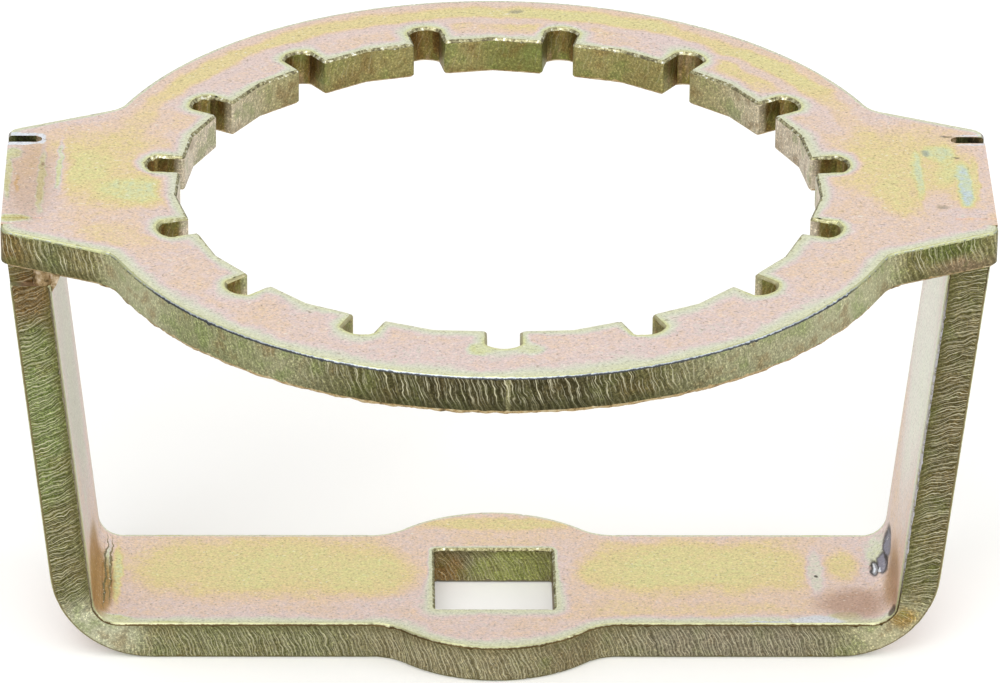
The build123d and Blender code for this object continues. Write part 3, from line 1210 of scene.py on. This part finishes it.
def split_long_edges(piece, longest, wanted):
    """Halves the wanted edges until none is longer than the given length."""
    for _ in range(9):
        bpy.ops.mesh.select_all(action="DESELECT")
        mesh = bmesh.from_edit_mesh(piece.data)
        chosen = [edge for edge in mesh.edges if edge.calc_length() > longest and wanted(edge)]
        if not chosen:
            return
        for edge in chosen:
            edge.select_set(True)
        bmesh.update_edit_mesh(piece.data)
        bpy.ops.mesh.subdivide(number_cuts=1)
        bpy.ops.mesh.select_all(action="SELECT")
        bpy.ops.mesh.quads_convert_to_tris(quad_method="BEAUTY", ngon_method="BEAUTY")
        bpy.ops.mesh.beautify_fill(angle_limit=math.radians(0.5))


def on_rim(edge):
    """True for an edge that borders a broken edge's narrow face."""
    return any(face.material_index == RUBBED for face in edge.link_faces)


def nowhere(place):
    """No place on the piece."""
    return False


def at_tab_end(place):
    """True on the strap's two ends, which lie flush in the ring plate's ears."""
    return place.z > RING_TOP - 1.0 * MM and abs(place.y) < 13.5 * MM


def paint_tab_ends(piece):
    """The strap's ends are ground flush with the ring plate and carry its film, without a border."""
    mesh = bmesh.from_edit_mesh(piece.data)
    layer = mesh.verts.layers.float["rim_gap"]
    for face in mesh.faces:
        if all(at_tab_end(vertex.co) for vertex in face.verts):
            face.material_index = BURR
            for vertex in face.verts:
                vertex[layer] = 10 * MM
    bmesh.update_edit_mesh(piece.data)


def anywhere(edge):
    """True for every edge."""
    return True


def rim_chain(mesh, is_start):
    """Each vertex of the rims where the cut starts, with its neighbours along the rim."""
    chain = {}
    for edge in mesh.edges:
        kinds = {face.material_index for face in edge.link_faces}
        if kinds != {CUT, RUBBED}:
            continue
        narrow = next(face for face in edge.link_faces if face.material_index == RUBBED)
        if not is_start(narrow.normal, narrow.calc_center_median()):
            continue
        for here, there in (edge.verts, reversed(edge.verts)):
            chain.setdefault(here, []).append(there)
    return chain


def measure_rims(chain):
    """Distance of each rim vertex along its rim, and each rim's whole length."""
    runs, lengths = {}, {}
    for first in sorted(chain, key=lambda vertex: (len(chain[vertex]), vertex.index)):
        if first in runs:
            continue
        start = sum(set(lengths.values())) + 0.05 * len(set(lengths.values()))
        walked, here, visited = start, first, [first]
        runs[first] = walked
        while True:
            ahead = [vertex for vertex in chain[here] if vertex not in runs]
            if not ahead:
                break
            walked += (ahead[0].co - here.co).length
            here = ahead[0]
            runs[here] = walked
            visited.append(here)
        for vertex in visited:
            lengths[vertex] = walked - start
    return runs, lengths


def unroll_cut(piece, is_start):
    """Lays the cut faces out flat: run along the rim and depth below it, in metres, as a UV map."""
    mesh = bmesh.from_edit_mesh(piece.data)
    mesh.verts.index_update()
    layer = mesh.loops.layers.uv.new("cut_run")
    chain = rim_chain(mesh, is_start)
    runs, lengths = measure_rims(chain)
    order = list(runs)
    tree = tree_of(order)
    found = {}
    for vertex in mesh.verts:
        _, index, _ = tree.find(vertex.co)
        near = order[index]
        best = ((vertex.co - near.co).length, runs[near])
        before = -100.0 if len(chain[near]) == 1 else 0.0
        for other in chain[near]:
            step = other.co - near.co
            if step.length < 1e-9 or abs(runs[other] - runs[near]) > 3 * step.length:
                continue
            share = min(1.0, max(before, (vertex.co - near.co).dot(step) / step.length_squared))
            gap = (vertex.co - near.co - share * step).length
            if gap < best[0]:
                best = (gap, runs[near] + share * (runs[other] - runs[near]))
        found[vertex] = (*best, lengths[near])
    for face in mesh.faces:
        if face.material_index == ROLLED:
            continue
        highest = max(found[loop.vert][1] for loop in face.loops)
        for loop in face.loops:
            depth, run, whole = found[loop.vert]
            if highest - run > whole / 2:
                run += whole
            loop[layer].uv = (run, depth)
    bmesh.update_edit_mesh(piece.data)


def tree_of(vertices):
    """A search tree over the vertices' places."""
    tree = KDTree(len(vertices))
    for index, vertex in enumerate(vertices):
        tree.insert(vertex.co, index)
    tree.balance()
    return tree


def store_rim_gap(piece, flush):
    """Keeps each vertex's distance from the nearest broken edge, for the film's green borders.

    Where a face is flush with a neighbour piece, the edge between them counts as none.
    """
    mesh = bmesh.from_edit_mesh(piece.data)
    layer = mesh.verts.layers.float.new("rim_gap")
    rims = [
        vertex
        for vertex in mesh.verts
        if not flush(vertex.co) and any(face.material_index == RUBBED for face in vertex.link_faces)
    ]
    tree = tree_of(rims)
    for vertex in mesh.verts:
        vertex[layer] = tree.find(vertex.co)[2]
    bmesh.update_edit_mesh(piece.data)


def store_edge_share(piece):
    """Keeps where a broken edge's vertices lie across it: nought by a rolled face, one by a cut face."""
    mesh = bmesh.from_edit_mesh(piece.data)
    share = mesh.verts.layers.float.new("edge_share")
    kinds = {vertex: {face.material_index for face in vertex.link_faces} for vertex in mesh.verts}
    rims = [vertex for vertex in mesh.verts if RUBBED in kinds[vertex]]
    rolled_side = tree_of([vertex for vertex in rims if ROLLED in kinds[vertex]])
    cut_side = tree_of([vertex for vertex in rims if CUT in kinds[vertex]])
    for vertex in rims:
        if ROLLED in kinds[vertex]:
            vertex[share] = 0.0
        elif CUT in kinds[vertex]:
            vertex[share] = 1.0
        else:
            to_rolled = rolled_side.find(vertex.co)[2]
            vertex[share] = to_rolled / (to_rolled + cut_side.find(vertex.co)[2])
    bmesh.update_edit_mesh(piece.data)


def nick_rims(piece, deepest):
    """Eats the broken edges back unevenly, so that their line wavers and has small nicks."""
    mesh = bmesh.from_edit_mesh(piece.data)
    mesh.normal_update()
    moves = {}
    for vertex in mesh.verts:
        narrow = [face for face in vertex.link_faces if face.material_index == RUBBED]
        broad = [face for face in vertex.link_faces if face.material_index != RUBBED]
        if not narrow or not broad:
            continue
        slope = sum((face.normal for face in narrow), Vector()).normalized()
        flat = sum((face.normal * face.calc_area() for face in broad), Vector()).normalized()
        away = flat * slope.dot(flat) - slope
        if away.length < 0.3:
            continue
        waver = 0.5 + 0.5 * noise.noise(vertex.co / (1.3 * MM))
        bite = max(0.0, noise.noise(vertex.co / (0.9 * MM) + Vector((7, 3, 5))) - 0.32) * 3
        moves[vertex] = away.normalized() * deepest * min(1.0, 0.35 * waver + bite)
    for vertex, move in moves.items():
        vertex.co += move
    bmesh.update_edit_mesh(piece.data)


def hang_burr(piece, most):
    """Pulls the lower edge of the ring plate's rim down to an uneven burr."""
    mesh = bmesh.from_edit_mesh(piece.data)
    for vertex in mesh.verts:
        radius = math.hypot(vertex.co.x, vertex.co.y)
        low = 1.0 - min(1.0, (vertex.co.z - RING_BOTTOM) / (0.6 * MM))
        if abs(vertex.co.x) > 62 * MM or radius < 64.2 * MM or low <= 0:
            continue
        uneven = 0.6 + 0.5 * noise.noise(vertex.co / (2.3 * MM)) + 0.3 * noise.noise(vertex.co / (0.8 * MM))
        vertex.co.z -= most * low * min(1.0, max(0.1, uneven))
    bmesh.update_edit_mesh(piece.data)


def press_dents(piece, dents):
    """Presses the dents into the piece's faces, each deepest in its middle and a little ragged."""
    mesh = bmesh.from_edit_mesh(piece.data)
    mesh.normal_update()
    moves = {}
    for vertex in mesh.verts:
        sunk = 0.0
        for dent in dents:
            ragged = vertex.co / MM + noise.noise_vector(vertex.co / (2.0 * MM)) * 0.25
            off = [(at - middle) / reach for at, middle, reach in zip(ragged, dent.place, dent.reach)]
            near = 1.0 - Vector(off).length
            if near > 0:
                sunk = max(sunk, dent.depth * math.sin(near * math.pi / 2))
        if sunk:
            moves[vertex] = vertex.normal * -sunk
    for vertex, move in moves.items():
        vertex.co += move
    bmesh.update_edit_mesh(piece.data)


def near_bend(edge):
    """True for an edge on the inside of one of the strap's bends or beside it."""
    middle = (edge.verts[0].co + edge.verts[1].co) / 2
    inside = middle.z < 11 * MM and middle.z > 6.0 * MM and abs(middle.x) < 65 * MM
    return inside and abs(middle.x) > 60.3 * MM


def sink_weld_tops(piece):
    """The fill of the ear's slot lies a hair below the ring plate, with a rounded end at the slit."""
    mesh = bmesh.from_edit_mesh(piece.data)
    middle, half = (SLIT_NEAR + SLIT_FAR) / 2, (SLIT_FAR - SLIT_NEAR) / 2
    for vertex in mesh.verts:
        here = vertex.co
        off = here.y - middle
        behind = 1.0 - max(0.0, SLIT_START - abs(here.x)) / (3 * MM)
        if abs(off) < half and behind > 0:
            here.x -= math.copysign(0.9 * behind * math.sqrt(half**2 - off**2), here.x)
        if here.z > RING_TOP - 0.01 * MM:
            inside = min(1.0, max(0.0, (SLIT_FAR - abs(here.y)) / (2 * MM)))
            here.z -= 0.035 * MM * inside * (2 + noise.noise(here / (1.5 * MM)))
    bmesh.update_edit_mesh(piece.data)


def lump_bead(piece, most):
    """Swells and sinks the bead below the ear in uneven lumps, and leaves its seats where they are."""
    mesh = bmesh.from_edit_mesh(piece.data)
    mesh.normal_update()
    low, high = min(v.co.z for v in mesh.verts), RING_BOTTOM
    moves = {}
    for vertex in mesh.verts:
        here = vertex.co
        if here.z > high - 0.3 * MM or abs(vertex.normal.x) > 0.98:
            continue
        lump = noise.noise(here / (2.2 * MM)) + 0.3 * noise.noise(here / (0.9 * MM))
        moves[vertex] = vertex.normal * most * lump * min(1.0, (high - here.z) / (1.0 * MM))
    for vertex, move in moves.items():
        vertex.co += move
        vertex.co.z = max(vertex.co.z, low)
    bmesh.update_edit_mesh(piece.data)


def repaint_rims(piece, wanted, slot):
    """Gives the wanted ones of the broken edges another material."""
    mesh = bmesh.from_edit_mesh(piece.data)
    for face in mesh.faces:
        if face.material_index == RUBBED and wanted(face.normal, face.calc_center_median()):
            face.material_index = slot
    bmesh.update_edit_mesh(piece.data)


def finish_piece(piece, node_name, materials):
    """Leaves edit mode, shades the piece and hands it to the frame in its node's place."""
    bpy.ops.object.mode_set(mode="OBJECT")
    for material in materials:
        piece.data.materials.append(material)
    bpy.ops.object.shade_smooth_by_angle(angle=math.radians(28))
    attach(piece, "root")
    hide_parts(node_name)


def ring_face_kind(normal, centre):
    """The ring plate's upper and lower faces are rolled, its upright faces are cut."""
    upright = abs(normal.z)
    if upright > 0.9:
        return ROLLED
    return RUBBED if upright > 0.3 else CUT


def ring_cut_start(normal, centre):
    """The ring plate was cut from its upper face."""
    return normal.z > 0


def ring_cut_end(normal, centre):
    """The cut ends at the ring plate's lower face."""
    return not ring_cut_start(normal, centre)


def yoke_face_kind(normal, centre):
    """The strap's broad faces are rolled; its sides, its ends and the drive hole are cut."""
    in_hole = abs(centre.x) < HOLE_HALF + 0.3 * MM and abs(centre.y) < HOLE_HALF + 0.3 * MM
    at_end = centre.z > 70 * MM and normal.z > 0.9
    flat = abs(normal.y)
    if in_hole and abs(normal.z) < 0.3:
        return CUT
    if in_hole and abs(normal.z) < 0.9:
        return RUBBED
    if at_end:
        return CUT
    if centre.z > 70 * MM and normal.z > 0.3:
        return RUBBED
    if flat < 0.1:
        return ROLLED
    broad = math.hypot(normal.x, normal.z) if abs(centre.x) > 26 * MM else abs(normal.z)
    return RUBBED if 0.3 < broad < 0.9 and flat > 0.2 else CUT


def yoke_cut_start(normal, centre):
    """The strap's cut depth is measured from its outer face, and its shoulders count as no start."""
    inward = Vector((-centre.x, 0.0, 60 * MM - centre.z))
    on_shoulder = centre.z > 66.5 * MM
    return normal.dot(inward) < 0 and not on_shoulder


def weld_face_kind(normal, centre):
    """The weld's top is ground flush with the ring plate; the rest is bead."""
    return 0 if normal.z > 0.9 and centre.z > RING_TOP - 0.6 * MM else 1


def clear_rim_gap(piece):
    """The ground weld carries the ring plate's film without a border."""
    mesh = bmesh.from_edit_mesh(piece.data)
    layer = mesh.verts.layers.float.new("rim_gap")
    for vertex in mesh.verts:
        vertex[layer] = 10 * MM
    bmesh.update_edit_mesh(piece.data)


class WRENCH_OT_ring_plate(bpy.types.Operator):
    """Make the plated, flame-cut ring plate with its worn edges"""

    bl_idname = "wrench.ring_plate"
    bl_label = "Ring Plate"

    def execute(self, context):
        sizes = context.scene.wrench_surface
        piece = merged_copy("ring_plate", "ring_plate_plated")
        paint_faces(piece, ring_face_kind)
        split_long_edges(piece, sizes.facet, anywhere)
        split_long_edges(piece, sizes.rim_facet, on_rim)
        unroll_cut(piece, ring_cut_start)
        store_rim_gap(piece, nowhere)
        store_edge_share(piece)
        nick_rims(piece, sizes.nick)
        hang_burr(piece, sizes.burr_height)
        repaint_rims(piece, ring_cut_end, BURR)
        materials = (
            rolled_plating(
                "zinc_on_rolled_plate", RING_CLOUDS, RING_MARKS, Border(-45, 30, 4.5, 57), RING_BANDS
            ),
            flame_cut_plating(
                "zinc_on_flame_cut_plate",
                ring_cut_ground,
                RING_PATCHES,
                Cut(sizes.drag_pitch, 0.30, (3.0 * MM, 4.9 * MM), "#515135", 0.42),
            ),
            # The dark colour is painted shade on the edge's side by the cut.
            rubbed_and_shaded_edge("rubbed_and_shaded_plate_edge", "#a7aeb6", "#484a4a", 58 * MM, RING_EDGE_MARKS),
            burr_edge("plate_burr"),
        )
        finish_piece(piece, "ring_plate", materials)
        return {"FINISHED"}


class WRENCH_OT_yoke(bpy.types.Operator):
    """Make the plated strap that is bent to a U and carries the drive hole"""

    bl_idname = "wrench.yoke"
    bl_label = "Yoke"

    def execute(self, context):
        sizes = context.scene.wrench_surface
        piece = merged_copy("yoke", "yoke_plated")
        paint_faces(piece, yoke_face_kind)
        split_long_edges(piece, sizes.facet, anywhere)
        split_long_edges(piece, sizes.rim_facet, on_rim)
        split_long_edges(piece, sizes.dent_facet, near_bend)
        unroll_cut(piece, yoke_cut_start)
        store_rim_gap(piece, at_tab_end)
        store_edge_share(piece)
        nick_rims(piece, sizes.nick)
        press_dents(piece, STRAP_DENTS)
        paint_tab_ends(piece)
        repaint_rims(piece, yoke_cut_start, STAINED)
        materials = (
            rolled_plating("zinc_on_rolled_strap", STRAP_CLOUDS, STRAP_MARKS, Border(-14, 12, 3.2, -4)),
            flame_cut_plating(
                "zinc_on_flame_cut_strap",
                strap_cut_ground,
                STRAP_PATCHES,
                Cut(0.7 * sizes.drag_pitch, 0.36, (3.6 * MM, 5.6 * MM), "#6c653a", 0.31),
            ),
            # The dark colours are painted shade on the edges' sides by the cut.
            rubbed_and_shaded_edge("rubbed_and_shaded_strap_edge", "#a5a486", "#54462c", 16 * MM, STRAP_EDGE_MARKS),
            bpy.data.materials["zinc_on_rolled_plate"],
            rubbed_and_shaded_edge("stained_and_shaded_strap_edge", "#958c63", "#7a6f49", 0),
        )
        finish_piece(piece, "yoke", materials)
        return {"FINISHED"}


class WRENCH_OT_welds(bpy.types.Operator):
    """Make the two weld beads that join the strap to the ring plate"""

    bl_idname = "wrench.welds"
    bl_label = "Weld Beads"

    def execute(self, context):
        sizes = context.scene.wrench_surface
        bead = weld_plating("zinc_on_weld_metal")
        for side in ("left", "right"):
            node = f"weld_{side}"
            piece = merged_copy(node, f"{node}_plated")
            paint_faces(piece, weld_face_kind)
            split_long_edges(piece, 0.8 * sizes.rim_facet, anywhere)
            lump_bead(piece, sizes.lump)
            sink_weld_tops(piece)
            clear_rim_gap(piece)
            finish_piece(
                piece, node, (bpy.data.materials["zinc_on_rolled_plate"], bead)
            )
        return {"FINISHED"}


class WRENCH_OT_stage(bpy.types.Operator):
    """Set up the pale floor, the soft lamps, the world and the camera"""

    bl_idname = "wrench.stage"
    bl_label = "Stage"

    def execute(self, context):
        lay_floor()
        hang_lamps()
        light_world()
        place_camera(context)
        context.scene.view_settings.view_transform = "Standard"
        return {"FINISHED"}


def lay_floor():
    """A pale matt floor that keeps the wrench's shadow and shows white to the camera."""
    bpy.ops.object.select_all(action="DESELECT")
    bpy.ops.mesh.primitive_plane_add(size=6.0, location=(0, 0, -0.02 * MM))
    floor = bpy.context.object
    floor.name = "floor"
    material = bpy.data.materials.new("white_paper_floor")
    material.use_nodes = True
    tree = material.node_tree
    shader = tree.nodes["Principled BSDF"]
    shader.inputs["Base Color"].default_value = linear("#f2f2f0")
    shader.inputs["Roughness"].default_value = 0.9
    shader.inputs["Specular IOR Level"].default_value = 0.1
    ray = add_node(tree, "ShaderNodeLightPath")
    seen = add_node(
        tree,
        "ShaderNodeMath",
        {"operation": "MULTIPLY"},
        {0: ray.outputs["Is Camera Ray"], 1: 0.16},
    ).outputs[0]
    shader.inputs["Emission Color"].default_value = linear("#ffffff")
    tree.links.new(seen, shader.inputs["Emission Strength"])
    floor.data.materials.append(material)


def hang_lamps():
    """One wide soft lamp above the front and a weaker one at the right."""
    for name, place, size, power in (
        ("soft_overhead", (-0.35, -0.9, 1.5), 1.4, 16.0),
        ("soft_right", (1.3, -0.5, 0.9), 0.9, 6.0),
    ):
        lamp = bpy.data.lights.new(name, "AREA")
        lamp.shape = "SQUARE"
        lamp.size = size
        lamp.energy = power
        holder = bpy.data.objects.new(name, lamp)
        bpy.context.scene.collection.objects.link(holder)
        holder.location = place
        towards = Vector((0, 0, 0.03)) - Vector(place)
        holder.rotation_euler = towards.to_track_quat("-Z", "Y").to_euler()


def light_world():
    """An even white surround, at full white where the camera or a gloss sees it."""
    world = bpy.data.worlds.new("white_surround")
    bpy.context.scene.world = world
    world.use_nodes = True
    tree = world.node_tree
    surround = tree.nodes["Background"]
    surround.inputs["Color"].default_value = linear("#ffffff")
    ray = add_node(tree, "ShaderNodeLightPath")
    seen = add_node(
        tree,
        "ShaderNodeMath",
        {"operation": "MAXIMUM"},
        {0: ray.outputs["Is Camera Ray"], 1: ray.outputs["Is Transmission Ray"]},
    ).outputs[0]
    glossed = add_node(
        tree,
        "ShaderNodeMath",
        {"operation": "MAXIMUM"},
        {0: seen, 1: ray.outputs["Is Glossy Ray"]},
    ).outputs[0]
    strength = add_node(
        tree,
        "ShaderNodeMapRange",
        inputs={"Value": glossed, "To Min": 0.7, "To Max": 1.0},
    ).outputs[0]
    tree.links.new(strength, surround.inputs["Strength"])


def place_camera(context):
    """The camera stands where the photograph was taken from."""
    stand = context.scene.wrench_stage
    lens = bpy.data.cameras.new("camera")
    lens.sensor_fit = "HORIZONTAL"
    lens.sensor_width = 36.0
    lens.lens = stand.lens
    lens.clip_start = 0.05
    lens.clip_end = 20.0
    camera = bpy.data.objects.new("camera", lens)
    context.scene.collection.objects.link(camera)
    turn = (
        Matrix.Rotation(-stand.azimuth, 4, "Z")
        @ Matrix.Rotation(math.pi / 2 - stand.elevation, 4, "X")
        @ Matrix.Rotation(stand.roll, 4, "Z")
    )
    aim = Vector((0.55 * MM, 0, 49.71 * MM))
    sight = turn.to_3x3() @ Vector((0, 0, -1))
    camera.matrix_world = Matrix.Translation(aim - sight * stand.distance) @ turn
    context.scene.camera = camera


class WRENCH_PT_panel(bpy.types.Panel):
    """Lists the wrench's pieces and their settings"""

    bl_idname = "WRENCH_PT_panel"
    bl_label = "Oil Filter Cap Wrench"
    bl_space_type = "VIEW_3D"
    bl_region_type = "UI"
    bl_category = "Wrench"

    def draw(self, context):
        for operator in OPERATORS:
            self.layout.operator(operator.bl_idname)
        for group in (context.scene.wrench_plating, context.scene.wrench_surface, context.scene.wrench_stage):
            for name in group.__annotations__:
                self.layout.prop(group, name)


OPERATORS = (WRENCH_OT_ring_plate, WRENCH_OT_yoke, WRENCH_OT_welds, WRENCH_OT_stage)
CLASSES = (WrenchPlating, WrenchSurface, WrenchStage, *OPERATORS, WRENCH_PT_panel)


def register():
    for kind in CLASSES:
        bpy.utils.register_class(kind)
    bpy.types.Scene.wrench_plating = bpy.props.PointerProperty(type=WrenchPlating)
    bpy.types.Scene.wrench_surface = bpy.props.PointerProperty(type=WrenchSurface)
    bpy.types.Scene.wrench_stage = bpy.props.PointerProperty(type=WrenchStage)


def unregister():
    del bpy.types.Scene.wrench_stage
    del bpy.types.Scene.wrench_surface
    del bpy.types.Scene.wrench_plating
    for kind in reversed(CLASSES):
        bpy.utils.unregister_class(kind)


def main():
    """Makes every piece and the stage."""
    register()
    bpy.ops.wrench.ring_plate()
    bpy.ops.wrench.yoke()
    bpy.ops.wrench.welds()
    bpy.ops.wrench.stage()


if __name__ == "__main__":
    main()
